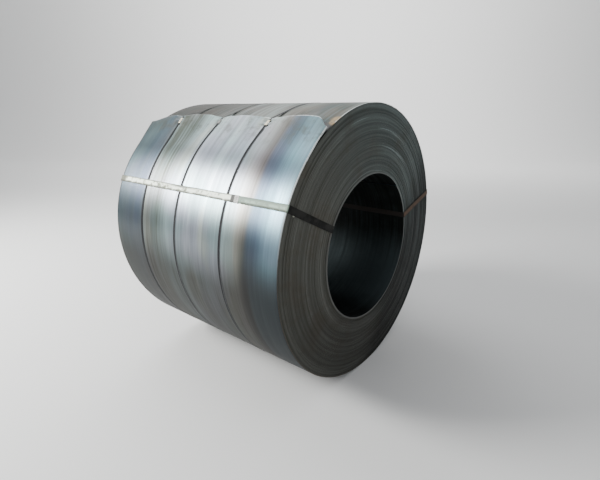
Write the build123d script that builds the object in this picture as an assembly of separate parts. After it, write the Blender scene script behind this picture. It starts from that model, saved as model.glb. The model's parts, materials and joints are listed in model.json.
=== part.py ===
"""Hot-rolled steel strip wound into a coil that lies on its side.

Three narrow belly straps go round the coil and two wide eye straps go through its bore.
The coil's axis is X, Z is up, and the origin is on the floor below the coil's middle.
Clock angles turn from +Y towards +Z, as seen from the +X end.
"""

from build123d import *

import os
from dataclasses import dataclass
from math import acos, atan2, cos, degrees, radians, sin, sqrt

# Strip and winding, in millimetres and degrees
STRIP_WIDTH = 1219.0
LAP_PITCH = 4.1
LAP_COUNT = 80
BORE_RADIUS = 381.0
TAIL_ANGLE = 115.5
TAIL_RAMP_SPAN = 90.0
HEAD_ANGLE = 49.0
HEAD_RAMP_SPAN = 60.0

# Ragged lap edges on both ends: bands of laps that wandered together, then lap by lap.
# Each band has the share of the laps where it stops and its share of the band depth.
BAND_DEPTH = 5.0
LAP_JITTER = 1.6
NEAR_BAND_SHARES = ((0.05, 0.0), (0.30, 0.55), (0.52, 0.30), (0.74, 0.45), (0.90, 0.20), (1.0, 0.75))
FAR_BAND_SHARES = ((0.06, 0.35), (0.25, 0.10), (0.60, 0.60), (0.85, 0.0), (1.0, 0.90))
JITTER_STEP_SHARE = 0.618

# Belly straps round the coil, placed along X, and their crimped seals
BELLY_WIDTH = 16.0
BELLY_THICKNESS = 0.6
FAR_BELLY_OFFSET = -351.0
MIDDLE_BELLY_OFFSET = -68.0
NEAR_BELLY_OFFSET = 261.0
BELLY_SEAL_LENGTH = 32.0
TAIL_TO_BELLY_SEAL = 38.0

# Eye straps through the bore, and their crimped seals
EYE_WIDTH = 32.0
EYE_THICKNESS = 0.9
EYE_BEND_RADIUS = 2.0
LEFT_EYE_ANGLE = 152.3
RIGHT_EYE_ANGLE = 15.5
EYE_SEAL_LENGTH = 48.0
EYE_SEAL_OFFSET = 313.0

# A seal is a channel folded over its strap, with notches crimped into both edges
SEAL_WALL = 1.1
SEAL_FIT = 0.2
NOTCH_COUNT = 2
NOTCH_RADIUS = 4.5

# Straps lie this far off what they bind, and cutting shapes run this far past it
SEAT = 0.5
OVERRUN = 20.0

HALF_WIDTH = STRIP_WIDTH / 2
OUTER_RADIUS = BORE_RADIUS + LAP_COUNT * LAP_PITCH
BELLY_BOTTOM = OUTER_RADIUS + SEAT
BELLY_TOP = BELLY_BOTTOM + BELLY_THICKNESS
EYE_BOTTOM = BELLY_TOP + SEAT
EYE_TOP = EYE_BOTTOM + EYE_THICKNESS
AXIS_HEIGHT = BELLY_TOP

# Across the axis, with Y to the right and Z up, and along the axis, with X to the right and Z up
GIRTH_PLANE = Plane(origin=(0, 0, AXIS_HEIGHT), x_dir=(0, 1, 0), z_dir=(1, 0, 0))
AXIAL_PLANE = Plane(origin=(0, 0, AXIS_HEIGHT), x_dir=(1, 0, 0), z_dir=(0, -1, 0))


def polar(radius, angle):
    """Point at a clock angle and a distance from the axis."""
    return Vector(radius * cos(radians(angle)), radius * sin(radians(angle)))


@dataclass(frozen=True)
class StripEnd:
    """One end of the strip: a step off the round, and the ramp that brings the next lap back to it.

    The ramp span is the signed angle from the step to where the ramp meets the round.
    """

    round_radius: float
    foot_radius: float
    angle: float
    ramp_span: float

    @property
    def tip(self):
        """Top of the step, on the round."""
        return polar(self.round_radius, self.angle)

    @property
    def foot(self):
        """Bottom of the step, on the next lap."""
        return polar(self.foot_radius, self.angle)

    @property
    def meet_angle(self):
        """Clock angle where the ramp meets the round."""
        return self.angle + self.ramp_span

    @property
    def centre_shift(self):
        """How far the ramp's centre lies off the axis, towards the meeting point."""
        rise = self.round_radius**2 - self.foot_radius**2
        return rise / (2 * (self.round_radius - self.foot_radius * cos(radians(self.ramp_span))))

    @property
    def ramp_centre(self):
        """Centre of the ramp's arc."""
        return polar(self.centre_shift, self.meet_angle)

    @property
    def ramp_radius(self):
        """Radius of the ramp's arc."""
        return self.round_radius - self.centre_shift

    def outline(self):
        """Closed edges: the round, the ramp and the step."""
        start = self.meet_angle if self.ramp_span > 0 else self.angle
        round_edge = CenterArc((0, 0), self.round_radius, start, 360 - abs(self.ramp_span))
        meet = polar(self.round_radius, self.meet_angle)
        outward = ((meet + self.foot) / 2 - self.ramp_centre).normalized()
        ramp_edge = ThreePointArc(meet, self.ramp_centre + outward * self.ramp_radius, self.foot)
        return [round_edge, ramp_edge, Line(self.foot, self.tip)]


TAIL = StripEnd(OUTER_RADIUS, OUTER_RADIUS - LAP_PITCH, TAIL_ANGLE, -TAIL_RAMP_SPAN)
HEAD = StripEnd(BORE_RADIUS, BORE_RADIUS + LAP_PITCH, HEAD_ANGLE, HEAD_RAMP_SPAN)


def lap_inset(lap, band_shares):
    """How far a lap's edge lies inside the strip's full width."""
    place = (lap + 1) / LAP_COUNT
    band_share = next(share for reach, share in band_shares if place <= reach)
    jitter_share = lap * JITTER_STEP_SHARE % 1
    return band_share * BAND_DEPTH + jitter_share * LAP_JITTER


def end_steps(band_shares):
    """Radius and inset at both sides of each lap's edge, from the bore outwards.

    The two laps at the bore and the two at the outside wander as one, so the strip's ends
    meet no change of inset.
    """
    steps = []
    for lap in range(1, LAP_COUNT - 1):
        inset = lap_inset(lap, band_shares)
        inner = BORE_RADIUS + lap * LAP_PITCH
        outer = inner + LAP_PITCH
        if lap == 1:
            inner = BORE_RADIUS - OVERRUN
        if lap == LAP_COUNT - 2:
            outer = OUTER_RADIUS + OVERRUN
        steps += [(inner, inset), (outer, inset)]
    return steps


def build_coil():
    """The wound strip: its outline across the axis, with every lap's edge turned on both ends."""
    section = make_face(TAIL.outline()) - make_face(HEAD.outline())
    body = extrude(GIRTH_PLANE * section, amount=HALF_WIDTH, both=True)
    near = [(HALF_WIDTH - inset, radius) for radius, inset in end_steps(NEAR_BAND_SHARES)]
    far = [(inset - HALF_WIDTH, radius) for radius, inset in end_steps(FAR_BAND_SHARES)]
    profile = make_face(Polyline(*near, *reversed(far), close=True))
    turned = revolve(AXIAL_PLANE * profile, axis=Axis((0, 0, AXIS_HEIGHT), (1, 0, 0)))
    return body & turned


def taut_face(gap):
    """Face inside a line drawn tight round the coil at a gap from it, straight across the tail's step."""
    reach = TAIL.tip - TAIL.ramp_centre
    touch_angle = degrees(atan2(reach.Y, reach.X) - acos(TAIL.ramp_radius / reach.length))
    touch_span = touch_angle - TAIL.meet_angle
    round_edge = CenterArc((0, 0), OUTER_RADIUS + gap, TAIL_ANGLE, 360 - TAIL_RAMP_SPAN)
    ramp_edge = CenterArc(TAIL.ramp_centre, TAIL.ramp_radius + gap, TAIL.meet_angle, touch_span)
    corner = CenterArc(TAIL.tip, gap, touch_angle, TAIL_ANGLE - touch_angle)
    bridge = Line(ramp_edge @ 1, corner @ 0)
    return make_face([round_edge, ramp_edge, bridge, corner])


def at_clock_angle(shape, angle):
    """A shape made above the origin, set about the coil's axis at a clock angle."""
    return Pos(0, 0, AXIS_HEIGHT) * Rot(angle - 90, 0, 0) * shape


def build_belly_strap(place):
    """One narrow strap round the coil at a place along its width."""
    ring = taut_face(SEAT + BELLY_THICKNESS) - taut_face(SEAT)
    return Pos(place, 0, 0) * extrude(GIRTH_PLANE * ring, amount=BELLY_WIDTH / 2, both=True)


def build_eye_strap(angle):
    """One wide flat strap along the coil's side, over both ends and back through the bore."""
    bore_run = sqrt(BORE_RADIUS**2 - (EYE_WIDTH / 2) ** 2) - SEAT
    length = STRIP_WIDTH + 2 * SEAT
    height = EYE_BOTTOM - bore_run
    bend = EYE_BEND_RADIUS + EYE_THICKNESS
    inside = RectangleRounded(length, height, EYE_BEND_RADIUS)
    outside = RectangleRounded(length + 2 * EYE_THICKNESS, height + 2 * EYE_THICKNESS, bend)
    middle = Pos(0, (EYE_BOTTOM + bore_run) / 2)
    loop = extrude(Plane.XZ * middle * (outside - inside), amount=EYE_WIDTH / 2, both=True)
    return at_clock_angle(loop, angle)


def build_seal(length, strap_width, strap_bottom, strap_top):
    """Crimped channel over a strap that runs along X above the origin."""
    slot_width = strap_width + 2 * SEAL_FIT
    outer_width = slot_width + 2 * SEAL_WALL
    slot_top = strap_top + SEAL_FIT
    height = slot_top + SEAL_WALL - strap_bottom
    on_base = (Align.CENTER, Align.CENTER, Align.MIN)
    below_top = (Align.CENTER, Align.CENTER, Align.MAX)
    seal = Pos(0, 0, strap_bottom) * Box(length, outer_width, height, align=on_base)
    seal -= Pos(0, 0, slot_top) * Box(length + OVERRUN, slot_width, height, align=below_top)
    notch_reach = outer_width / 2 + NOTCH_RADIUS - SEAL_WALL / 2
    for number in range(NOTCH_COUNT):
        place_share = (number + 0.5) / NOTCH_COUNT - 0.5
        for side in (-1, 1):
            notch = Cylinder(NOTCH_RADIUS, height + OVERRUN)
            seal -= Pos(place_share * length, side * notch_reach, strap_bottom) * notch
    return seal


def build_belly_seal(place):
    """Seal on a belly strap, beside the tail."""
    seal = Rot(0, 0, 90) * build_seal(BELLY_SEAL_LENGTH, BELLY_WIDTH, BELLY_BOTTOM, BELLY_TOP)
    angle = TAIL_ANGLE + degrees(TAIL_TO_BELLY_SEAL / OUTER_RADIUS)
    return Pos(place, 0, 0) * at_clock_angle(seal, angle)


def build_eye_seal(angle):
    """Seal on an eye strap's run along the coil's side."""
    seal = build_seal(EYE_SEAL_LENGTH, EYE_WIDTH, EYE_BOTTOM, EYE_TOP)
    return Pos(EYE_SEAL_OFFSET, 0, 0) * at_clock_angle(seal, angle)


def build_parts():
    """Every piece by its node name."""
    parts = {"steel_coil": build_coil()}
    belly_offsets = (FAR_BELLY_OFFSET, MIDDLE_BELLY_OFFSET, NEAR_BELLY_OFFSET)
    for number, place in enumerate(belly_offsets, start=1):
        parts[f"belly_strap_{number}"] = build_belly_strap(place)
        parts[f"belly_seal_{number}"] = build_belly_seal(place)
    for side, angle in (("left", LEFT_EYE_ANGLE), ("right", RIGHT_EYE_ANGLE)):
        parts[f"eye_strap_{side}"] = build_eye_strap(angle)
        parts[f"eye_seal_{side}"] = build_eye_seal(angle)
    return parts


def main():
    """Writes one STEP file for each piece."""
    os.makedirs("parts", exist_ok=True)
    for name, shape in build_parts().items():
        export_step(shape, f"parts/{name}.step")


if __name__ == "__main__":
    main()
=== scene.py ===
"""Looks of a strapped coil of hot-rolled steel strip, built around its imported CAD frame.

The coil's axis is X and Z is up. Clock angles turn from +Y towards +Z, as seen from the +X end.
"""

import json
import logging
import math
from collections.abc import Callable
from dataclasses import dataclass, field
from enum import Enum, IntEnum
from functools import cached_property

import bmesh
import bpy
from mathutils import Matrix, Vector, noise


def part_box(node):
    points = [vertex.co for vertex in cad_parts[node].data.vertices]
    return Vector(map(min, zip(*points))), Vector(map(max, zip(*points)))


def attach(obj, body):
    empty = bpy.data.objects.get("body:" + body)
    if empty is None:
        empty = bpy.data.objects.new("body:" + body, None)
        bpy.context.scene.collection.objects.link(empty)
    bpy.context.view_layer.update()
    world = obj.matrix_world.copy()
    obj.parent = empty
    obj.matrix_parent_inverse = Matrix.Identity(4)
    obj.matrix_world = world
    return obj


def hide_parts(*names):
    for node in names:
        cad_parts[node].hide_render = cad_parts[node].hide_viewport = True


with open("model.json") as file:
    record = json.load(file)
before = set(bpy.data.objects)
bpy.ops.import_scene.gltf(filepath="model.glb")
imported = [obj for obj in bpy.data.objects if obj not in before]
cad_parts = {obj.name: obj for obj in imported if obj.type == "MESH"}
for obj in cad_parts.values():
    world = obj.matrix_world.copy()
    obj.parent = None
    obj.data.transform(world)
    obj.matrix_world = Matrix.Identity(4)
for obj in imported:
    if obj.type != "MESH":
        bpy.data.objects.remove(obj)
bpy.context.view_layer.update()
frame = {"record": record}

LOG = logging.getLogger("steel_coil")
MM = 0.001
BODY = "root"
# Gap below the eye straps and below the tightly drawn belly straps.
STRAP_SEAT = 0.5 * MM
BELLY_SEAT = 0.35 * MM
BELLY_SEAL_LENGTH = 32.0 * MM
EYE_SEAL_LENGTH = 48.0 * MM
# Degrees from the tail's edge to a belly seal, and the number of the one seal that is grey.
SEAL_PAST_TAIL = 2.4
GREY_SEAL_NUMBER = 2
# Share of a spot's reach that is covered in full.
NEAR_CORE = 0.35

Point = tuple[float, float, float]
Colour = tuple[float, float, float]
Socket = bpy.types.NodeSocket
Sockets = bpy.types.bpy_prop_collection
Geometry = list[bmesh.types.BMVert | bmesh.types.BMEdge | bmesh.types.BMFace]
ORIGIN: Point = (0.0, 0.0, 0.0)
ALONG_AXIS: Point = (1.0, 0.0, 0.0)
UPWARD: Point = (0.0, 0.0, 1.0)


def smooth_step(share: float) -> float:
    """Eased share, flat at 0 and at 1."""
    share = min(1.0, max(0.0, share))
    return share * share * (3.0 - 2.0 * share)


def bump_at(place: float, centre: float, reach: float) -> float:
    """Height of a smooth bump of one, which fades to zero a reach away from its centre."""
    return smooth_step(1.0 - abs(place - centre) / reach)


def axes_at(across: Vector, along: Vector, out: Vector, middle: Vector) -> Matrix:
    """Transform onto three axes and a middle."""
    turn = Matrix((across, along, out)).transposed().to_4x4()
    return Matrix.Translation(middle) @ turn


class Side(Enum):
    """The two ends of the coil, by the sign of X."""

    NEAR = 1
    FAR = -1


class CoreFace(IntEnum):
    """Material slots of the wound core."""

    LAP_EDGE = 0
    BORE = 1
    SKIN = 2


class WrapFace(IntEnum):
    """Material slots of the outer wrap."""

    SKIN = 0
    RIM = 1
    UNDERSIDE = 2
    COVERED_RIM = 3


# Wander of the strip's edge: waves a turn, row of the noise, size in millimetres.
EDGE_WAVES = ((0.085, 0.3, 1.5), (0.43, 4.1, 1.1), (1.7, 8.6, 0.8))
# Laps that stand in or out together: size in millimetres, turns from the head, reach in turns.
EDGE_STEPS = {
    Side.NEAR: ((2.2, 73.4, 1.8), (2.4, 4.2, 1.8), (-2.0, 0.6, 2.2)),
    Side.FAR: ((6.0, 79.6, 2.2),),
}
EDGE_INSET = 2.2
LEAST_INSET = 0.3
EDGE_SEED = 5.0
# Rows of the noise for the tail's ragged edge, its dents and the wave of its sheet.
RAGGED_ROW = (3.3, 9.1)
DENT_ROW = 5.0
WAVE_ROW = 2.2


@dataclass(frozen=True)
class Winding:
    """Sizes of the wound strip, in metres, and clock angles of its ends, in degrees."""

    bore_radius: float
    outer_radius: float
    half_width: float
    axis_height: float
    lap_count: int = 80
    strip_thickness: float = 4.0 * MM
    head_angle: float = 49.0
    tail_angle: float = 115.5
    tuck_span: float = 20.0

    @classmethod
    def from_frame(cls, eye_thickness: float) -> "Winding":
        """Reads the coil's sizes from the frame.

        Args:
            eye_thickness: Thickness of the straps that lie over the coil's ends.

        Returns:
            The winding.
        """
        low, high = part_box("steel_coil")
        bore = frame["record"]["mounts"][0]
        return cls(
            bore_radius=bore["dims"]["r_mm"] * MM,
            outer_radius=(high.y - low.y) / 2,
            half_width=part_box("eye_strap_left")[1].x - eye_thickness - STRAP_SEAT,
            axis_height=bore["pos_m"][2],
        )

    @property
    def pitch(self) -> float:
        """Radial distance from one lap to the next."""
        return (self.outer_radius - self.bore_radius) / self.lap_count

    @property
    def tuck_angle(self) -> float:
        """Clock angle where the last turn passes under its own tail and joins the core."""
        return self.tail_angle + self.tuck_span

    def place(self, x: float, radius: float, angle: float) -> Vector:
        """Point at a place along the axis, a radius and a clock angle."""
        turn = math.radians(angle)
        return Vector((x, radius * math.cos(turn), self.axis_height + radius * math.sin(turn)))

    def clock(self, point: Vector) -> tuple[float, float]:
        """Radius and clock angle of a point."""
        rise = point.z - self.axis_height
        return math.hypot(point.y, rise), math.degrees(math.atan2(rise, point.y))

    def outward(self, face: bmesh.types.BMFace) -> Vector:
        """Direction from the axis to a face's middle."""
        centre = face.calc_center_median()
        return Vector((0.0, centre.y, centre.z - self.axis_height)).normalized()

    def facing(self, face: bmesh.types.BMFace) -> float:
        """How far a face looks away from the axis, from -1 to 1."""
        return face.normal.dot(self.outward(face))

    def drop(self, angle: float) -> float:
        """How far a lap lies below the one outside it, from 0 at the head's angle to a pitch at the tail's."""
        return self.pitch * smooth_step((angle - self.head_angle) / (self.tail_angle - self.head_angle))

    def edge_inset(self, turns: float, side: Side) -> float:
        """How far the strip's edge lies inside its full width.

        Args:
            turns: Turns along the strip from its head.
            side: The end of the coil.

        Returns:
            The inset in metres.
        """
        seed = EDGE_SEED * side.value
        inset = EDGE_INSET
        for rate, row, size in EDGE_WAVES:
            inset += size * noise.noise(Vector((turns * rate, seed, row)))
        for size, middle, reach in EDGE_STEPS[side]:
            inset += size * bump_at(turns, middle, reach)
        return max(LEAST_INSET, inset) * MM


class Graph:
    """Adds nodes to one shader tree and joins their sockets."""

    def __init__(self, tree: bpy.types.NodeTree) -> None:
        """Takes the tree to work in."""
        self.tree = tree

    def add(self, kind: str, **values: object) -> bpy.types.Node:
        """Adds a node.

        Args:
            kind: Blender's node type.
            values: Settings by name, and input values or sockets by name with underscores for spaces.

        Returns:
            The new node.
        """
        node = self.tree.nodes.new(kind)
        settings = {name: value for name, value in values.items() if hasattr(node, name)}
        for name, value in settings.items():
            setattr(node, name, value)
        for name, value in values.items():
            if name not in settings:
                self.feed(self.socket(node, name), value)
        return node

    @staticmethod
    def socket(node: bpy.types.Node, name: str) -> Socket:
        """Finds one of a node's inputs.

        Args:
            node: The node.
            name: The enabled input's name, or its number written as in_0.

        Returns:
            The input.
        """
        if name.startswith("in_"):
            return node.inputs[int(name[3:])]
        wanted = name.replace("_", " ").lower()
        return next(s for s in node.inputs if s.enabled and s.name.lower() == wanted)

    def feed(self, target: Socket, value: object) -> None:
        """Links a socket to an input, or sets the input's own value.

        Args:
            target: The input.
            value: A socket, a number, a vector or a colour.
        """
        if isinstance(value, bpy.types.NodeSocket):
            self.tree.links.new(value, target)
        elif isinstance(value, tuple) and len(value) == 3 and target.type == "RGBA":
            target.default_value = (*value, 1.0)
        else:
            target.default_value = value

    def math(self, operation: str, first: object, second: object = 0.0) -> Socket:
        """Result of a Math node."""
        return self.add("ShaderNodeMath", operation=operation, in_0=first, in_1=second).outputs[0]

    def times(self, *factors: object) -> Socket:
        """Multiplies values.

        Args:
            factors: One or more values.

        Returns:
            Their product, or the value itself where there is only one.
        """
        product = factors[0]
        for factor in factors[1:]:
            product = self.math("MULTIPLY", product, factor)
        return product

    def ramp(self, value: object, low: float, high: float, start: float = 0.0, end: float = 1.0) -> Socket:
        """Eases a value from one range onto another.

        Args:
            value: The value.
            low: Where it starts.
            high: Where it stops; below low, the range falls.
            start: Result at the start.
            end: Result at the stop.

        Returns:
            The eased value.
        """
        if low > high:
            low, high, start, end = high, low, end, start
        node = self.add("ShaderNodeMapRange", interpolation_type="SMOOTHSTEP", Value=value)
        for name, number in (("From Min", low), ("From Max", high), ("To Min", start), ("To Max", end)):
            node.inputs[name].default_value = number
        return node.outputs["Result"]

    def band(self, value: object, rise: tuple[float, float], fall: tuple[float, float]) -> Socket:
        """Mask that rises over one range and falls over another."""
        return self.times(self.ramp(value, *rise), self.ramp(value, *fall, 1.0, 0.0))

    def mix(self, share: object, first: object, second: object, blend: str = "MIX") -> Socket:
        """Mixes two colours.

        Args:
            share: Share of the second.
            first: The colour below.
            second: The colour on top.
            blend: Blender's blend type.

        Returns:
            The mixed colour.
        """
        node = self.add("ShaderNodeMix", data_type="RGBA", blend_type=blend)
        self.feed(node.inputs[0], share)
        self.feed(node.inputs[6], first)
        self.feed(node.inputs[7], second)
        return node.outputs[2]

    def paint(self, colour: object, *layers: tuple[object, ...]) -> Socket:
        """Lays colours over a colour.

        Args:
            colour: The colour below.
            layers: Each layer's colour, and the factors of its mask.

        Returns:
            The painted colour.
        """
        for layer, *factors in layers:
            colour = self.mix(self.times(*factors), colour, layer)
        return colour

    def attribute(self, name: str) -> Socket:
        """A value that the piece's mesh holds."""
        return self.add("ShaderNodeAttribute", attribute_name=name).outputs["Fac"]

    def shade(self, colour: object, factor: Socket) -> Socket:
        """Colour times a grey value."""
        grey = self.add("ShaderNodeCombineColor", Red=factor, Green=factor, Blue=factor).outputs[0]
        return self.mix(1.0, colour, grey, "MULTIPLY")

    def noise(self, vector: Socket, scale: object, detail: float = 3.0, rough: float = 0.55) -> Socket:
        """Value of a Noise texture."""
        node = self.add("ShaderNodeTexNoise", Vector=vector, Scale=scale, Detail=detail, Roughness=rough)
        return node.outputs["Fac"]

    def coords(self) -> Socket:
        """The piece's own coordinates."""
        return self.add("ShaderNodeTexCoord").outputs["Object"]

    def stretch(self, vector: Socket, scale: Point, shift: Point = ORIGIN) -> Socket:
        """Vector after a Mapping node."""
        return self.add("ShaderNodeMapping", Vector=vector, Scale=scale, Location=shift).outputs[0]

    def near(self, point: Vector, reach: float) -> Socket:
        """Mask that fades from one at a point to zero a reach away."""
        node = self.add("ShaderNodeVectorMath", operation="DISTANCE", in_0=self.coords(), in_1=point[:])
        return self.ramp(node.outputs["Value"], reach * NEAR_CORE, reach, 1.0, 0.0)

    def group(self, tree: bpy.types.NodeTree, **values: object) -> bpy.types.Node:
        """Places a node group with its own input values.

        Args:
            tree: The group.
            values: Its input values, with underscores for spaces.

        Returns:
            The group's node.
        """
        node = self.tree.nodes.new("ShaderNodeGroup")
        node.node_tree = tree
        for name, value in values.items():
            self.feed(self.socket(node, name), value)
        return node


class EffectGroups:
    """Shader node groups that several finishes share."""

    def __init__(self, winding: Winding) -> None:
        """Builds every group once.

        Args:
            winding: Sizes of the wound strip.
        """
        self.winding = winding
        self.places = self._places()
        self.streaks = self._streaks()
        self.grime = self._grime()

    @staticmethod
    def _new(
        name: str, inputs: dict[str, float], outputs: tuple[str, ...]
    ) -> tuple[Graph, bpy.types.Node, bpy.types.Node]:
        """Starts a group.

        Args:
            name: The group's name.
            inputs: Value inputs and their defaults.
            outputs: Value outputs.

        Returns:
            The group's graph and its input and output nodes.
        """
        tree = bpy.data.node_groups.new(name, "ShaderNodeTree")
        for label, value in inputs.items():
            tree.interface.new_socket(label, in_out="INPUT", socket_type="NodeSocketFloat").default_value = value
        for label in outputs:
            tree.interface.new_socket(label, in_out="OUTPUT", socket_type="NodeSocketFloat")
        graph = Graph(tree)
        return graph, graph.add("NodeGroupInput"), graph.add("NodeGroupOutput")

    def _places(self) -> bpy.types.NodeTree:
        """Place on the coil: share of its width, radius, and height and depth from the axis in radii.

        Returns:
            The group.
        """
        graph, _, out = self._new("coil_places", {}, ("Share", "Radius", "Height", "Depth"))
        wound = self.winding
        split = graph.add("ShaderNodeSeparateXYZ", Vector=graph.coords())
        rise = graph.math("SUBTRACT", split.outputs["Z"], wound.axis_height)
        square = graph.math("ADD", graph.math("POWER", rise, 2.0), graph.math("POWER", split.outputs["Y"], 2.0))
        along = graph.math("DIVIDE", split.outputs["X"], 2.0 * wound.half_width)
        graph.feed(out.inputs["Share"], graph.math("ADD", along, 0.5))
        graph.feed(out.inputs["Radius"], graph.math("SQRT", square))
        graph.feed(out.inputs["Height"], graph.math("DIVIDE", rise, wound.outer_radius))
        graph.feed(out.inputs["Depth"], graph.math("DIVIDE", split.outputs["Y"], wound.outer_radius))
        return graph.tree

    def _streaks(self) -> bpy.types.NodeTree:
        """Rolling streaks round the girth: coarse, fine and hair-thin.

        Returns:
            The group.
        """
        inputs = {"Coarse Scale": 14.0, "Fine Scale": 60.0, "Hair Scale": 260.0, "Round Scale": 1.5}
        graph, given, out = self._new("rolling_streaks", inputs, ("Coarse", "Fine", "Hair"))
        split = graph.add("ShaderNodeSeparateXYZ", Vector=graph.coords())
        depth = graph.times(split.outputs["Y"], given.outputs["Round Scale"])
        height = graph.times(split.outputs["Z"], given.outputs["Round Scale"])
        for label, shift in (("Coarse", 0.0), ("Fine", 7.0), ("Hair", 19.0)):
            across = graph.times(split.outputs["X"], given.outputs[f"{label} Scale"])
            across = graph.math("ADD", across, shift)
            vector = graph.add("ShaderNodeCombineXYZ", X=across, Y=depth, Z=height).outputs[0]
            graph.feed(out.inputs[label], graph.noise(vector, 1.0, 3.0, 0.6))
        return graph.tree

    def _grime(self) -> bpy.types.NodeTree:
        """Slow clouds, blotches of dirt and small specks.

        Returns:
            The group.
        """
        inputs = {"Cloud Scale": 1.7, "Blotch Scale": 6.0, "Speck Scale": 90.0}
        graph, given, out = self._new("grime", inputs, ("Cloud", "Blotch", "Speck"))
        coords = graph.coords()
        speck = graph.noise(coords, given.outputs["Speck Scale"], 2.0, 0.5)
        graph.feed(out.inputs["Cloud"], graph.noise(coords, given.outputs["Cloud Scale"], 2.0, 0.5))
        graph.feed(out.inputs["Blotch"], graph.noise(coords, given.outputs["Blotch Scale"], 6.0, 0.65))
        graph.feed(out.inputs["Speck"], graph.ramp(speck, 0.62, 0.74))
        return graph.tree


class Finish:
    """A material with its Principled shader, to be filled in by each finish."""

    name = "finish"
    GRIME: dict[str, float] = {}

    def __init__(self, effects: EffectGroups) -> None:
        """Makes the empty material.

        Args:
            effects: The shared groups.
        """
        self.effects = effects
        self.winding = effects.winding
        self.material = bpy.data.materials.new(self.name)
        self.material.use_nodes = True
        tree = self.material.node_tree
        tree.nodes.clear()
        self.graph = Graph(tree)
        self.shader = self.graph.add("ShaderNodeBsdfPrincipled")
        out = self.graph.add("ShaderNodeOutputMaterial")
        tree.links.new(self.shader.outputs["BSDF"], out.inputs["Surface"])

    @cached_property
    def places(self) -> Sockets:
        """Place on the coil: Share, Radius, Height and Depth."""
        return self.graph.group(self.effects.places).outputs

    @cached_property
    def streaks(self) -> Sockets:
        """Rolling streaks: Coarse, Fine and Hair."""
        return self.graph.group(self.effects.streaks).outputs

    @cached_property
    def grime(self) -> Sockets:
        """Dirt at this finish's own scales: Cloud, Blotch and Speck."""
        return self.graph.group(self.effects.grime, **self.GRIME).outputs

    def set_bump(self, height: Socket, distance: float) -> None:
        """Puts a height on the surface's normal."""
        node = self.graph.add("ShaderNodeBump", Height=height, Distance=distance)
        self.graph.feed(self.shader.inputs["Normal"], node.outputs["Normal"])

    def set_values(self, **values: object) -> None:
        """Sets or links the shader's inputs."""
        for name, value in values.items():
            self.graph.feed(Graph.socket(self.shader, name), value)


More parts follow.
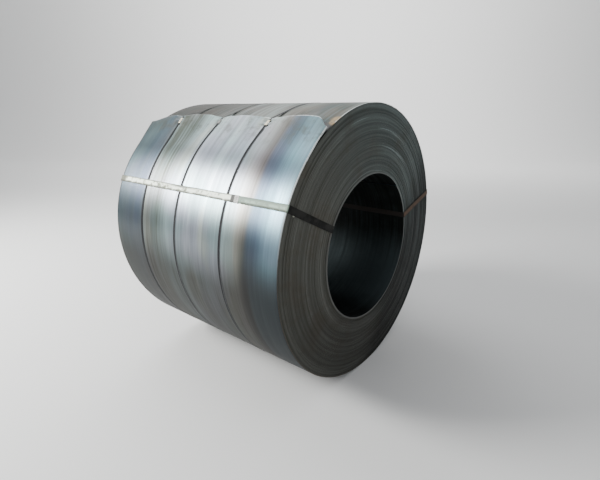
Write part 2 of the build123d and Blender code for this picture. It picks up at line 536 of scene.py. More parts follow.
class RolledSkin(Finish):
    """Outside of the strip: satin oxide with blue edges, brown bands and streaks round the girth."""

    name = "rolled_skin"
    STEEL: Colour = (0.205, 0.239, 0.254)
    PALE: Colour = (0.297, 0.341, 0.355)
    WARM: Colour = (0.185, 0.168, 0.148)
    BROWN: Colour = (0.072, 0.065, 0.055)
    OLIVE: Colour = (0.066, 0.067, 0.052)
    SKY: Colour = (0.15, 0.25, 0.295)
    RIM_SKY: Colour = (0.175, 0.275, 0.31)
    DEEP_BLUE: Colour = (0.052, 0.071, 0.099)
    FAR_SKY: Colour = (0.034, 0.051, 0.061)
    SCALE_SHADE: Colour = (0.012, 0.0117, 0.009)
    BLUE_SCALE_SHADE: Colour = (0.0095, 0.0140, 0.0165)
    BROWN_SCALE_SHADE: Colour = (0.0055, 0.0046, 0.0036)
    DULL: Colour = (0.052, 0.060, 0.051)
    DULL_WARM: Colour = (0.088, 0.077, 0.061)
    TEAL_CAST: Colour = (0.88, 1.03, 1.02)
    LILAC_CAST: Colour = (1.0, 0.96, 1.05)
    STRAW_CAST: Colour = (1.03, 1.01, 0.92)
    TAIL_CAST: Colour = (1.05, 1.03, 0.97)
    TAIL_BLUE_SHADE: Colour = (0.66, 0.69, 0.62)
    GLARE: Colour = (0.23, 0.255, 0.237)
    TAN: Colour = (0.52, 0.36, 0.17)
    RUBBED_SHEEN: Colour = (0.80, 0.84, 0.84)
    GAP_SHADE: Colour = (0.006, 0.006, 0.006)
    TAN_ANGLE: float = 116.0
    TAN_INSET: float = 8.0 * MM
    TAN_REACH: float = 46.0 * MM

    def build(self) -> bpy.types.Material:
        """Fills in the finish.

        Returns:
            The finished material.
        """
        graph = self.graph
        fine, hair = self.streaks["Fine"], self.streaks["Hair"]
        lines = graph.math("ADD", graph.times(fine, 0.9), graph.times(hair, 0.7))
        colour = graph.shade(self._soil_and_shade(self._heat_tint()), graph.ramp(lines, 0.45, 1.15, 1.2, 0.78))
        dull = graph.ramp(graph.math("MAXIMUM", self.top, self.low), 0.0, 1.0, 0.245, 0.5)
        self.set_values(
            Base_Color=colour,
            Roughness=graph.math("ADD", graph.times(fine, 0.16), dull),
            Metallic=graph.times(graph.ramp(self.top, 0.0, 1.0, 0.9, 0.2), graph.ramp(self.low, 0.0, 1.0, 1.0, 0.1)),
            Specular_IOR_Level=0.2,
        )
        self.set_bump(graph.math("ADD", graph.times(fine, 0.6), graph.times(hair, 0.4)), 0.22 * MM)
        return self.material

    @cached_property
    def behind_tail(self) -> Socket:
        """Depth from the axis in radii, shifted where the tail's far corner hangs lower."""
        shift = self.graph.ramp(self.places["Share"], 0.22, 0.02, 0.0, 0.09)
        return self.graph.math("ADD", self.places["Depth"], shift)

    @cached_property
    def top(self) -> Socket:
        """The coil's top beyond the tail, on the turn that passes under it.

        Returns:
            Its mask.
        """
        graph, outer = self.graph, self.winding.outer_radius
        bare = graph.ramp(self.behind_tail, -0.5, -0.42)
        covered = graph.ramp(self.places["Radius"], outer + 2 * MM, outer)
        return graph.times(graph.ramp(self.places["Height"], 0.5, 0.8), bare, covered)

    @cached_property
    def low(self) -> Socket:
        """Mask of the coil's lower half."""
        return self.graph.ramp(self.places["Height"], 0.36, -0.12)

    def _heat_tint(self) -> Socket:
        """Paints the strip across its width: pale middle, brown and olive bands, blue towards both edges, and a tint
        on the tail's top with painted shade near the blue edge.

        Returns:
            The colour.
        """
        graph, coarse = self.graph, self.streaks["Coarse"]
        wobble = graph.times(graph.math("SUBTRACT", self.grime["Cloud"], 0.5), 0.07)
        ripple = graph.times(graph.math("SUBTRACT", coarse, 0.5), 0.03)
        share = graph.math("ADD", graph.math("ADD", self.places["Share"], wobble), ripple)
        soft = graph.math("ADD", graph.times(self.streaks["Fine"], 0.4), graph.times(coarse, 0.6))
        # The ranges of each band are shares of the strip's width, from the far edge.
        near_deep = graph.band(share, (0.822, 0.856), (0.872, 0.94))
        far_deep = graph.band(share, (0.06, 0.175), (0.20, 0.225))
        colour = graph.paint(
            self.STEEL,
            (self.PALE, graph.ramp(coarse, 0.36, 0.64)),
            (self.OLIVE, graph.band(share, (0.20, 0.25), (0.31, 0.41)), graph.ramp(soft, 0.4, 0.6, 0.5, 0.95)),
            (self.WARM, graph.band(share, (0.68, 0.82), (0.84, 0.865)), 0.7),
            (self.BROWN, graph.band(share, (0.785, 0.83), (0.84, 0.865)), 0.7),
            (graph.mix(graph.ramp(share, 0.93, 0.99), self.SKY, self.RIM_SKY), graph.ramp(share, 0.845, 0.90), 0.88),
            (self.FAR_SKY, graph.ramp(share, 0.23, 0.12), 0.85),
            (self.DEEP_BLUE, graph.math("MAXIMUM", near_deep, far_deep), 0.88),
        )
        cast = graph.noise(graph.coords(), 3.6, 2.0, 0.5)
        straw = graph.noise(graph.stretch(graph.coords(), (7.0, 2.2, 2.2), (4.0, 9.0, 1.0)), 1.0, 2.0, 0.5)
        tint = graph.paint(
            self.TEAL_CAST,
            (self.LILAC_CAST, graph.ramp(cast, 0.38, 0.62)),
            (self.STRAW_CAST, graph.ramp(straw, 0.5, 0.66), graph.ramp(share, 0.84, 0.78)),
        )
        colour = graph.mix(1.0, colour, tint, "MULTIPLY")
        # Tints the tail's top, with painted shade where it meets the blue near edge.
        tail = graph.mix(graph.ramp(share, 0.84, 0.9), self.TAIL_CAST, self.TAIL_BLUE_SHADE)
        return graph.mix(graph.ramp(self.places["Height"], 0.72, 0.86), colour, tail, "MULTIPLY")

    def _dull_top(self) -> Socket:
        """Paints the top beyond the tail, dull and mottled, with patches and a strip of painted glare.

        Returns:
            The colour.
        """
        graph, share = self.graph, self.places["Share"]
        mottle = graph.math("ADD", graph.times(self.grime["Blotch"], 0.65), graph.times(self.streaks["Coarse"], 0.35))
        dull = graph.mix(graph.ramp(mottle, 0.42, 0.58), self.DULL, self.DULL_WARM)
        dull = graph.shade(dull, graph.ramp(share, 0.25, 0.6, 0.5, 1.4))
        clouds = graph.noise(graph.stretch(graph.coords(), (9.0, 2.5, 2.5), (1.0, 6.0, 3.0)), 1.0, 3.0, 0.55)
        glare = graph.times(graph.ramp(clouds, 0.42, 0.7), graph.ramp(share, 0.3, 0.55))
        strip = graph.band(share, (0.52, 0.61), (0.655, 0.68))
        # Painted glare: cloudy patches and a strip across the top.
        return graph.paint(dull, (self.GLARE, graph.math("MAXIMUM", glare, strip), 0.7))

    def _soil_and_shade(self, colour: Socket) -> Socket:
        """Adds dark scale with painted shade towards the floor, the dull top, rubbed edges with a painted highlight, a
        painted shadow line at the far rim, painted shade under the tail and rust under the tail's corner.

        Args:
            colour: The clean strip's colour.

        Returns:
            The soiled colour.
        """
        graph, wound, ramp = self.graph, self.winding, self.graph.ramp
        share, height = self.places["Share"], self.places["Height"]
        across, tip = graph.attribute("across"), graph.attribute("tip")
        bare = graph.times(ramp(self.streaks["Fine"], 0.36, 0.6, 1.0, 0.0), ramp(share, 0.15, 0.6))
        scuffs = ramp(graph.noise(graph.coords(), 16.0, 4.0, 0.65), 0.49, 0.66)
        patches = ramp(graph.noise(graph.coords(), 11.0, 3.0, 0.6), 0.47, 0.6)
        # Heights and depths are in radii from the axis, and deep is the turn below the tail.
        deep = ramp(self.places["Radius"], wound.outer_radius - 1.5 * MM, wound.outer_radius - 3 * MM)
        corner = wound.place(wound.half_width - self.TAN_INSET, wound.outer_radius, self.TAN_ANGLE)
        return graph.paint(
            colour,
            # Painted shade towards the floor, in the tones of dark scale.
            (self.SCALE_SHADE, self.low, ramp(self.streaks["Coarse"], 0.35, 0.65, 0.88, 1.0), 0.95),
            (self.BLUE_SCALE_SHADE, self.low, ramp(share, 0.83, 0.88), 0.97),
            (self.BROWN_SCALE_SHADE, self.low, graph.band(share, (0.80, 0.845), (0.85, 0.872)), 0.8),
            (self._dull_top(), self.top, ramp(bare, 0.0, 1.0, 0.94, 0.66)),
            # Rubbed near rim, brightened on the upper half as a painted highlight.
            (self.RUBBED_SHEEN, ramp(across, 0.989, 0.993), ramp(height, 0.1, 0.6), 0.85),
            # Painted shadow line along the far rim.
            (self.GAP_SHADE, ramp(across, -0.985, -0.991), 0.85),
            (self.OLIVE, ramp(height, 0.70, 0.85), ramp(self.behind_tail, -0.46, -0.49), scuffs, 0.5),
            # Rubbed tail edge, lightened as a painted highlight.
            (self.RUBBED_SHEEN, ramp(tip, 0.72, 0.86), patches, 0.45),
            # Painted shade on the turn below the lifted tail.
            (self.GAP_SHADE, deep, ramp(self.behind_tail, -0.44, -0.47), ramp(height, 0.4, 0.6)),
            (self.TAN, graph.near(corner, self.TAN_REACH), deep, ramp(self.grime["Blotch"], 0.35, 0.5)),
        )


class SheetUnderside(Finish):
    """Inner face of the lifted tail: dull dark oxide."""

    name = "sheet_underside"
    DARK: Colour = (0.022, 0.021, 0.020)
    BROWN: Colour = (0.055, 0.042, 0.030)

    def build(self) -> bpy.types.Material:
        """Fills in the finish.

        Returns:
            The finished material.
        """
        fine = self.streaks["Fine"]
        colour = self.graph.mix(self.graph.ramp(fine, 0.35, 0.65), self.DARK, self.BROWN)
        self.set_values(Base_Color=colour, Roughness=0.62, Metallic=0.5)
        self.set_bump(fine, 0.2 * MM)
        return self.material


class ShearedRim(Finish):
    """Edge of the outermost lap: brown, with bright rubbed patches on its upper half that double as a painted
    highlight.
    """

    name = "sheared_rim"
    GRIME = {"Blotch_Scale": 14.0}
    BRIGHT_GLINT: Colour = (0.62, 0.66, 0.66)
    BROWN: Colour = (0.07, 0.055, 0.042)

    def build(self) -> bpy.types.Material:
        """Fills in the finish.

        Returns:
            The finished material.
        """
        graph, blotch = self.graph, self.grime["Blotch"]
        upper = graph.ramp(self.places["Height"], 0.0, 0.6)
        self.set_values(
            # Bright patches only on the upper half: rubbed metal and a painted highlight.
            Base_Color=graph.paint(self.BROWN, (self.BRIGHT_GLINT, upper, graph.ramp(blotch, 0.34, 0.5))),
            Roughness=graph.ramp(blotch, 0.3, 0.7, 0.5, 0.36),
            Metallic=0.35,
        )
        self.set_bump(self.grime["Speck"], 0.15 * MM)
        return self.material


class LapEdges(Finish):
    """Sheared edges of the laps on the coil's ends: dark scale with fine rings, painted highlights on arcs, painted
    light towards the top and a painted shadow low on the +Y side.
    """

    name = "lap_edges"
    DARK: Colour = (0.046, 0.046, 0.042)
    GREY: Colour = (0.071, 0.073, 0.069)
    WORN_SHEEN: Colour = (0.22, 0.225, 0.22)
    NICK: Colour = (0.45, 0.45, 0.42)
    BROWN: Colour = (0.052, 0.045, 0.037)
    WARM_TINT: Colour = (1.0, 1.0, 0.94)
    TEAL_TINT: Colour = (0.88, 1.04, 1.06)
    NICK_SHARE: float = 0.938
    NICK_ANGLE: float = 153.5
    NICK_REACH: float = 9.0 * MM
    RIM_FADE: tuple[float, float] = (11.0 * MM, 5.0 * MM)

    def build(self) -> bpy.types.Material:
        """Fills in the finish.

        Returns:
            The finished material.
        """
        graph, wound = self.graph, self.winding
        radius, height, depth = (self.places[label] for label in ("Radius", "Height", "Depth"))
        vector = graph.add("ShaderNodeCombineXYZ", X=radius, Y=height, Z=depth).outputs[0]
        rings = graph.noise(graph.stretch(vector, (95.0, 0.7, 0.7)), 1.0, 4.0, 0.7)
        bands = graph.noise(graph.stretch(vector, (30.0, 0.5, 0.5), (3.0, 1.0, 0.0)), 1.0, 2.0, 0.5)
        arcs = graph.noise(graph.stretch(vector, (75.0, 0.9, 0.9), (11.0, 5.0, 2.0)), 1.0, 3.0, 0.6)
        lit = graph.ramp(graph.math("ADD", height, depth), -0.3, 0.7, 0.05, 0.6)
        nick = wound.place(wound.half_width, self.NICK_SHARE * wound.outer_radius, self.NICK_ANGLE)
        colour = graph.paint(
            self.DARK,
            (self.GREY, graph.ramp(rings, 0.32, 0.68)),
            (self.WORN_SHEEN, graph.ramp(bands, 0.5, 0.68), 0.18),
            # Painted highlight on arcs, lit towards the top and +Y.
            (self.WORN_SHEEN, graph.ramp(arcs, 0.60, 0.68), lit),
            (self.BROWN, graph.ramp(self.grime["Blotch"], 0.48, 0.7), 0.6),
            (self.NICK, graph.near(nick, self.NICK_REACH)),
        )
        upper_back = graph.ramp(graph.math("ADD", depth, graph.times(height, 0.6)), -0.5, 0.7)
        colour = graph.mix(1.0, colour, graph.mix(upper_back, self.WARM_TINT, self.TEAL_TINT), "MULTIPLY")
        # Painted light: lighter towards the top, darker towards the bottom.
        colour = graph.shade(colour, graph.ramp(height, -0.8, 0.7, 0.95, 1.6))
        # Painted shadow, low on the +Y side.
        right = graph.ramp(graph.math("SUBTRACT", depth, graph.times(height, 0.5)), 0.2, 0.75)
        colour = graph.shade(colour, graph.ramp(right, 0.0, 1.0, 1.1, 0.35))
        rim = graph.ramp(radius, *(wound.bore_radius + fade for fade in self.RIM_FADE))
        self.set_values(
            Base_Color=graph.paint(colour, (self.WORN_SHEEN, rim, 0.55)),
            Roughness=graph.ramp(rings, 0.3, 0.7, 0.62, 0.42),
            Metallic=0.6,
            Specular_IOR_Level=0.2,
        )
        self.set_bump(rings, 0.4 * MM)
        return self.material


class BoreSkin(Finish):
    """Inside of the coil: oxide painted near-black as shade, with dull streaks that fade into painted shade towards
    the far end, and a painted teal sheen low on the +Y side.
    """

    name = "bore_skin"
    # Near-black base: painted shade of the bore.
    DARK: Colour = (0.0035, 0.0045, 0.0035)
    TEAL_SHEEN: Colour = (0.045, 0.060, 0.064)

    def build(self) -> bpy.types.Material:
        """Fills in the finish.

        Returns:
            The finished material.
        """
        graph, fine, share = self.graph, self.streaks["Fine"], self.places["Share"]
        dull = graph.times(graph.ramp(fine, 0.3, 0.7), graph.ramp(self.grime["Blotch"], 0.3, 0.7))
        # Streaks fade into painted shade towards the far end.
        dull = graph.times(dull, graph.ramp(share, 0.15, 0.65, 0.2, 1.0), 0.4)
        # Painted teal sheen, low on the +Y side.
        right = graph.math("SUBTRACT", self.places["Depth"], self.places["Height"])
        sheen = graph.times(graph.ramp(right, 0.52, 0.8), graph.ramp(share, 0.2, 0.8))
        self.set_values(
            Base_Color=graph.mix(graph.math("ADD", dull, sheen), self.DARK, self.TEAL_SHEEN),
            Roughness=graph.ramp(fine, 0.3, 0.7, 0.68, 0.5),
            Metallic=0.5,
            Specular_IOR_Level=0.2,
        )
        self.set_bump(fine, 0.3 * MM)
        return self.material


@dataclass(frozen=True)
class StrapTone:
    """Colours of one kind of steel strapping."""

    name: str
    base: Colour
    worn: Colour
    stain: Colour
    stain_share: float
    roughness: float
    metallic: float
    # Painted line along both long edges of a band: a painted shadow line on the pale and rusty straps, a painted
    # highlight on the blued ones.
    edge: Colour
    specular: float = 0.5


BLUED = StrapTone(
    "blued_strap", (0.007, 0.0075, 0.009), (0.018, 0.019, 0.022), (0.007, 0.0065, 0.006), 0.4, 0.56, 0.4,
    (0.11, 0.115, 0.12), 0.12,
)
PALE_COAT = StrapTone(
    "pale_strap", (0.88, 0.95, 0.82), (0.95, 0.99, 0.93), (0.22, 0.245, 0.16), 0.85, 0.6, 0.0,
    (0.13, 0.135, 0.095), 0.12,
)
RUSTED = StrapTone(
    "rusty_strap", (0.075, 0.040, 0.021), (0.13, 0.07, 0.035), (0.018, 0.014, 0.012), 0.6, 0.68, 0.25,
    (0.03, 0.02, 0.014),
)
ZINC_SEAL = StrapTone(
    "zinc_seal", (0.55, 0.50, 0.36), (0.80, 0.77, 0.64), (0.16, 0.12, 0.07), 0.5, 0.36, 0.7, (0.5, 0.45, 0.33),
)
GREY_SEAL = StrapTone(
    "grey_seal", (0.075, 0.077, 0.07), (0.36, 0.36, 0.34), (0.03, 0.027, 0.024), 0.6, 0.42, 0.7, (0.2, 0.2, 0.19),
)
EYE_SEAL = StrapTone(
    "eye_seal", (0.62, 0.62, 0.58), (0.92, 0.92, 0.88), (0.10, 0.10, 0.085), 0.5, 0.5, 0.0, (0.2, 0.2, 0.18), 0.1,
)


class StrapFinish(Finish):
    """Steel strapping: a coat with scuffs, stains and specks, and the tone's painted line along both long edges."""

    GRIME = {"Blotch_Scale": 34.0, "Speck_Scale": 130.0}

    def __init__(self, effects: EffectGroups, tone: StrapTone) -> None:
        """Takes the strap's tone.

        Args:
            effects: The shared groups.
            tone: The strap's colours.
        """
        self.tone = tone
        self.name = tone.name
        super().__init__(effects)

    def build(self) -> bpy.types.Material:
        """Fills in the finish.

        Returns:
            The finished material.
        """
        graph, tone = self.graph, self.tone
        scuffs = graph.noise(graph.coords(), 120.0, 4.0, 0.7)
        side = graph.ramp(graph.math("ABSOLUTE", graph.attribute("across")), 0.55, 0.95)
        colour = graph.paint(
            tone.base,
            (tone.worn, graph.ramp(scuffs, 0.45, 0.68)),
            (tone.stain, graph.ramp(self.grime["Blotch"], 0.5, 0.66), tone.stain_share),
            (tone.stain, self.grime["Speck"], 0.6),
            # The tone's painted edge line, a shadow line on pale and rusty straps and a highlight on blued ones.
            (tone.edge, side, 0.85),
        )
        colour = self.zones(colour)
        rough = graph.math("ADD", graph.times(scuffs, 0.2), tone.roughness - 0.1)
        self.set_values(Base_Color=colour, Roughness=rough, Metallic=self.metal(colour))
        self.set_values(Specular_IOR_Level=tone.specular)
        self.set_bump(scuffs, 0.08 * MM)
        return self.material

    def zones(self, colour: Socket) -> Socket:
        """Colour changes along the strap; none here."""
        return colour

    def metal(self, colour: Socket) -> float | Socket:
        """How metallic the strap is; the same all over here."""
        return self.tone.metallic


class BluedStrapFinish(StrapFinish):
    """Blued strap: dusty over the coil's top, where two of the straps lie in old scale."""

    DUST: Colour = (0.05, 0.049, 0.043)

    def zones(self, colour: Socket) -> Socket:
        """Dusts the top beyond the tail's edge.

        Args:
            colour: The strap's colour.

        Returns:
            The dusty colour.
        """
        graph, share = self.graph, self.places["Share"]
        top = graph.times(graph.ramp(self.places["Height"], 0.5, 0.8), graph.ramp(self.places["Depth"], -0.45, -0.40))
        return graph.paint(
            colour,
            (self.tone.base, graph.ramp(share, 0.35, 0.3)),
            (self.DUST, top, graph.ramp(share, 0.6, 0.5), 0.9),
        )


class PaleStrapFinish(StrapFinish):
    """Pale strap: greyer beyond its seal, olive at the far rim, nearly black where it lies on the coil's ends and runs
    through the bore.
    """

    GREY_GREEN: Colour = (0.235, 0.325, 0.265)
    MINT: Colour = (0.46, 0.59, 0.49)
    OLIVE: Colour = (0.14, 0.14, 0.10)
    DIRT: Colour = (0.07, 0.072, 0.055)
    END_BLACK: Colour = (0.006, 0.006, 0.0055)
    RUBBED_SHEEN: Colour = (0.022, 0.022, 0.020)

    def zones(self, colour: Socket) -> Socket:
        """Greys the coat beyond the seal, dirties it and turns it nearly black on the ends and in the bore.

        Args:
            colour: The strap's colour.

        Returns:
            The soiled colour.
        """
        graph, ramp, outer = self.graph, self.graph.ramp, self.winding.outer_radius
        grime = graph.group(self.effects.grime, Blotch_Scale=30.0).outputs
        share, across = self.places["Share"], graph.attribute("across")
        streak = graph.times(ramp(across, 0.55, 0.05), ramp(across, -0.75, -0.3), ramp(grime["Blotch"], 0.4, 0.55))
        lower = graph.times(ramp(across, -0.25, -0.7), ramp(grime["Blotch"], 0.36, 0.52))
        upper = graph.times(ramp(across, 0.1, 0.6), ramp(grime["Cloud"], 0.44, 0.56), ramp(share, 0.3, 0.5))
        end_dark = graph.mix(ramp(grime["Blotch"], 0.42, 0.6), self.END_BLACK, self.RUBBED_SHEEN)
        return graph.paint(
            colour,
            (self.GREY_GREEN, ramp(share, 0.765, 0.775), 0.85),
            (self.MINT, ramp(share, 0.765, 0.79), streak),
            (self.OLIVE, ramp(share, 0.055, 0.03), 0.9),
            (self.DIRT, graph.math("MAXIMUM", lower, upper), 0.75),
            # Nearly black, with slightly lighter patches, wherever the strap lies below the coil's outside.
            (end_dark, ramp(self.places["Radius"], outer, outer - 3 * MM)),
        )

    def metal(self, colour: Socket) -> float | Socket:
        """Shiny where the coat is clean, dull where it is stained."""
        grey = self.graph.add("ShaderNodeRGBToBW", Color=colour).outputs[0]
        return self.graph.ramp(grey, 0.4, 0.9, 0.0, 0.3)


class EyeSealFinish(StrapFinish):
    """Seal of an eye strap: painted shade darkens one end, and the pale other end doubles as a painted glint."""

    DIRT: Colour = (0.035, 0.035, 0.03)

    def zones(self, colour: Socket) -> Socket:
        """Darkens the seal's far half with painted shade."""
        graph = self.graph
        return graph.paint(colour, (self.DIRT, graph.ramp(graph.attribute("along"), 0.1, -0.2, 0.0, 0.9)))


class RustyStrapFinish(StrapFinish):
    """Rusty strap, made nearly black inside the bore by painted shade."""

    BORE_SHADE: Colour = (0.008, 0.006, 0.005)

    def zones(self, colour: Socket) -> Socket:
        """Darkens the run through the bore with painted shade."""
        bore = self.winding.bore_radius
        # Painted shade darkens the strap inside the bore.
        return self.graph.paint(colour, (self.BORE_SHADE, self.graph.ramp(self.places["Radius"], bore + 3 * MM, bore), 0.93))


def add_object(name: str, data: bpy.types.ID | None) -> bpy.types.Object:
    """Links an object to the scene.

    Args:
        name: The object's name.
        data: Its mesh, light or camera.

    Returns:
        The object.
    """
    thing = bpy.data.objects.new(name, data)
    bpy.context.scene.collection.objects.link(thing)
    return thing


def to_mesh(name: str, bm: bmesh.types.BMesh) -> bpy.types.Mesh:
    """Turns a bmesh into a mesh and frees it.

    Args:
        name: The mesh's name.
        bm: The bmesh.

    Returns:
        The mesh.
    """
    mesh = bpy.data.meshes.new(name)
    bm.to_mesh(mesh)
    bm.free()
    return mesh


def make_piece(
    name: str, bm: bmesh.types.BMesh, materials: list[bpy.types.Material], node: str, slot: str, sharp: float = 35.0
) -> None:
    """Turns a finished bmesh into a piece that rides on the part.

    Args:
        name: The piece's name.
        bm: The mesh, which is freed.
        materials: Its material slots.
        node: The CAD node that it replaces.
        slot: The record's material slot; not used.
        sharp: Edges sharper than this, in degrees, stay sharp.
    """
    mesh = to_mesh(name, bm)
    for material in materials:
        mesh.materials.append(material)
    mesh.shade_smooth()
    mesh.set_sharp_from_angle(angle=math.radians(sharp))
    piece = add_object(name, mesh)
    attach(piece, BODY)
    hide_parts(node)
    LOG.info("%s: %d faces", name, len(mesh.polygons))


def spin(
    bm: bmesh.types.BMesh, geom: Geometry, degrees: float, steps: int, merge: bool = False, centre: Point = ORIGIN
) -> None:
    """Spins geometry round the direction of the coil's axis.

    Args:
        bm: The mesh.
        geom: What is spun.
        degrees: How far.
        steps: In how many steps.
        merge: Whether the end joins the start.
        centre: A point on the line that it turns about.
    """
    bmesh.ops.spin(
        bm, geom=geom, cent=centre, axis=ALONG_AXIS, dvec=ORIGIN, angle=math.radians(degrees),
        steps=steps, use_merge=merge, use_duplicate=False,
    )


def thicken(bm: bmesh.types.BMesh, thickness: float, face: bmesh.types.BMFace, outward: Vector) -> None:
    """Gives a sheet its thickness, inwards from the drawn face.

    Args:
        bm: The mesh of the sheet.
        thickness: Its thickness.
        face: One of the sheet's faces.
        outward: The direction in which that face should look.
    """
    bmesh.ops.recalc_face_normals(bm, faces=bm.faces[:])
    if face.normal.dot(outward) < 0.0:
        bmesh.ops.reverse_faces(bm, faces=bm.faces[:])
    bmesh.ops.solidify(bm, geom=bm.faces[:], thickness=thickness)
    bmesh.ops.recalc_face_normals(bm, faces=bm.faces[:])


def verts_of(geom: Geometry) -> list[bmesh.types.BMVert]:
    """The vertices among mixed geometry."""
    return [item for item in geom if isinstance(item, bmesh.types.BMVert)]


def pull(bm: bmesh.types.BMesh, edges: list[bmesh.types.BMEdge], move: Point) -> None:
    """Extrudes edges along a vector."""
    made = bmesh.ops.extrude_edge_only(bm, edges=edges)
    bmesh.ops.translate(bm, verts=verts_of(made["geom"]), vec=move)


def long_edges(bm: bmesh.types.BMesh, axis: int, length: float) -> list[bmesh.types.BMEdge]:
    """Edges that reach further than a length along one axis."""
    return [e for e in bm.edges if abs(e.verts[0].co[axis] - e.verts[1].co[axis]) > length]


def bevel_sharp(
    bm: bmesh.types.BMesh,
    offset: float,
    angle: float,
    spare: Callable[[bmesh.types.BMEdge], bool] = lambda edge: False,
) -> None:
    """Rounds the sharp edges of a mesh.

    Args:
        bm: The mesh.
        offset: Width of the rounding.
        angle: Edges sharper than this, in degrees, are rounded.
        spare: Says which edges stay as they are.
    """
    limit = math.radians(angle)
    sharp = [e for e in bm.edges if len(e.link_faces) == 2 and e.calc_face_angle(0.0) > limit and not spare(e)]
    bmesh.ops.bevel(
        bm, geom=sharp, offset=offset, offset_type="OFFSET", affect="EDGES",
        segments=2, profile=0.5, material=-1, clamp_overlap=True,
    )


@dataclass
class WoundCore:
    """All turns but the last: the bore and the laps' edges on both ends."""

    winding: Winding
    degrees_per_step: float = 2.5
    groove_depth: float = 1.3 * MM
    corner: float = 0.45 * MM
    wall_cuts: int = 11
    end_depth: float = 16.0 * MM
    seam_angle: float = 359.0
    groove_share: float = 0.02
    lap_weld: float = 0.01 * MM
    sector_weld: float = 0.05 * MM
    sharp: float = 50.0

    def _profile(self, bm: bmesh.types.BMesh, laps: int) -> None:
        """Draws the wall's outline at the top, with one chamfered edge for each lap on both ends.

        Args:
            bm: The mesh to draw in.
            laps: How many laps the wall has.
        """
        wound = self.winding
        for side in Side:
            full = side.value * wound.half_width
            groove = full - side.value * self.groove_depth
            corners = ((groove, 0.0), (full, self.corner), (full, wound.pitch - self.corner), (groove, wound.pitch))
            drawn = [bm.verts.new((x, 0.0, wound.bore_radius + rise)) for x, rise in corners]
            edges = [bm.edges.new(pair) for pair in zip(drawn, drawn[1:])]
            for number in range(1, laps):
                made = bmesh.ops.duplicate(bm, geom=drawn + edges)
                bmesh.ops.translate(bm, verts=verts_of(made["geom"]), vec=(0.0, 0.0, number * wound.pitch))
        bmesh.ops.remove_doubles(bm, verts=bm.verts[:], dist=self.lap_weld)
        ends = sorted((v for v in bm.verts if len(v.link_edges) == 1), key=lambda v: v.co.z)
        walls = [bm.edges.new(ends[:2]), bm.edges.new(ends[2:])]
        bmesh.ops.subdivide_edges(bm, edges=walls, cuts=self.wall_cuts)

    def _sector(self, laps: int, start: float, stop: float, first_turns: float) -> bpy.types.Mesh:
        """Spins the wall's outline clockwise through a sector and winds its laps.

        Args:
            laps: How many laps the sector has.
            start: Clock angle where the sector starts.
            stop: Clock angle where it stops.
            first_turns: Turns from the strip's head to the sector's start, on the innermost lap.

        Returns:
            The wound sector.
        """
        bm = bmesh.new()
        self._profile(bm, laps)
        steps = round((start - stop) / self.degrees_per_step)
        spin(bm, bm.verts[:] + bm.edges[:], stop - start, steps)
        for vert in bm.verts:
            self._wind(vert, laps, start, first_turns)
        return to_mesh("sector", bm)

    def _wind(self, vert: bmesh.types.BMVert, laps: int, start: float, first_turns: float) -> None:
        """Moves a vertex of the spun outline onto the strip's spiral, and in by the strip's wander.

        Args:
            vert: The vertex, spun from the top.
            laps: How many laps the sector has.
            start: Clock angle where the sector starts.
            first_turns: Turns from the strip's head to the sector's start, on the innermost lap.
        """
        wound = self.winding
        radius = math.hypot(vert.co.y, vert.co.z)
        passed = math.degrees(math.atan2(vert.co.y, vert.co.z)) % 360.0
        if passed > self.seam_angle:
            passed = 0.0
        angle = start - passed
        lap_place = (radius - wound.bore_radius) / wound.pitch
        turns = first_turns + passed / 360.0
        reach = abs(vert.co.x) / wound.half_width
        side = Side.NEAR if vert.co.x > 0 else Side.FAR
        boundary = round(lap_place)
        if abs(lap_place - boundary) < self.groove_share:
            neighbours = [lap for lap in (boundary - 1, boundary) if 0 <= lap < laps]
        else:
            neighbours = [math.floor(lap_place)]
        inset = max(wound.edge_inset(lap + turns, side) for lap in neighbours)
        if first_turns > 0.0:
            radius += wound.pitch - wound.drop(angle)
        vert.co = wound.place(vert.co.x - side.value * inset * reach, radius, angle)

    def build(self, edge: bpy.types.Material, bore: bpy.types.Material, skin: bpy.types.Material) -> None:
        """Joins the sectors into one closed wall.

        Args:
            edge: Finish of the laps' edges.
            bore: Finish of the bore.
            skin: Finish of the outside.
        """
        wound = self.winding
        head, tuck = wound.head_angle, wound.tuck_angle
        long_span = 360.0 - (tuck - head)
        sectors = [
            self._sector(wound.lap_count - 1, head, head - long_span, 0.0),
            self._sector(wound.lap_count - 2, tuck, head, long_span / 360.0),
        ]
        bm = bmesh.new()
        for mesh in sectors:
            bm.from_mesh(mesh)
            bpy.data.meshes.remove(mesh)
        bmesh.ops.remove_doubles(bm, verts=bm.verts[:], dist=self.sector_weld)
        bmesh.ops.holes_fill(bm, edges=[e for e in bm.edges if e.is_boundary], sides=0)
        bmesh.ops.recalc_face_normals(bm, faces=bm.faces[:])
        for face in bm.faces:
            face.material_index = self._slot_of(face)
        make_piece("wound_core", bm, [edge, bore, skin], "steel_coil", "strip", self.sharp)

    def _slot_of(self, face: bmesh.types.BMFace) -> CoreFace:
        """Tells an end, the bore and the outside apart.

        Args:
            face: The face.

        Returns:
            The face's material slot.
        """
        if abs(face.calc_center_median().x) > self.winding.half_width - self.end_depth:
            return CoreFace.LAP_EDGE
        return CoreFace.BORE if self.winding.facing(face) < 0.0 else CoreFace.SKIN


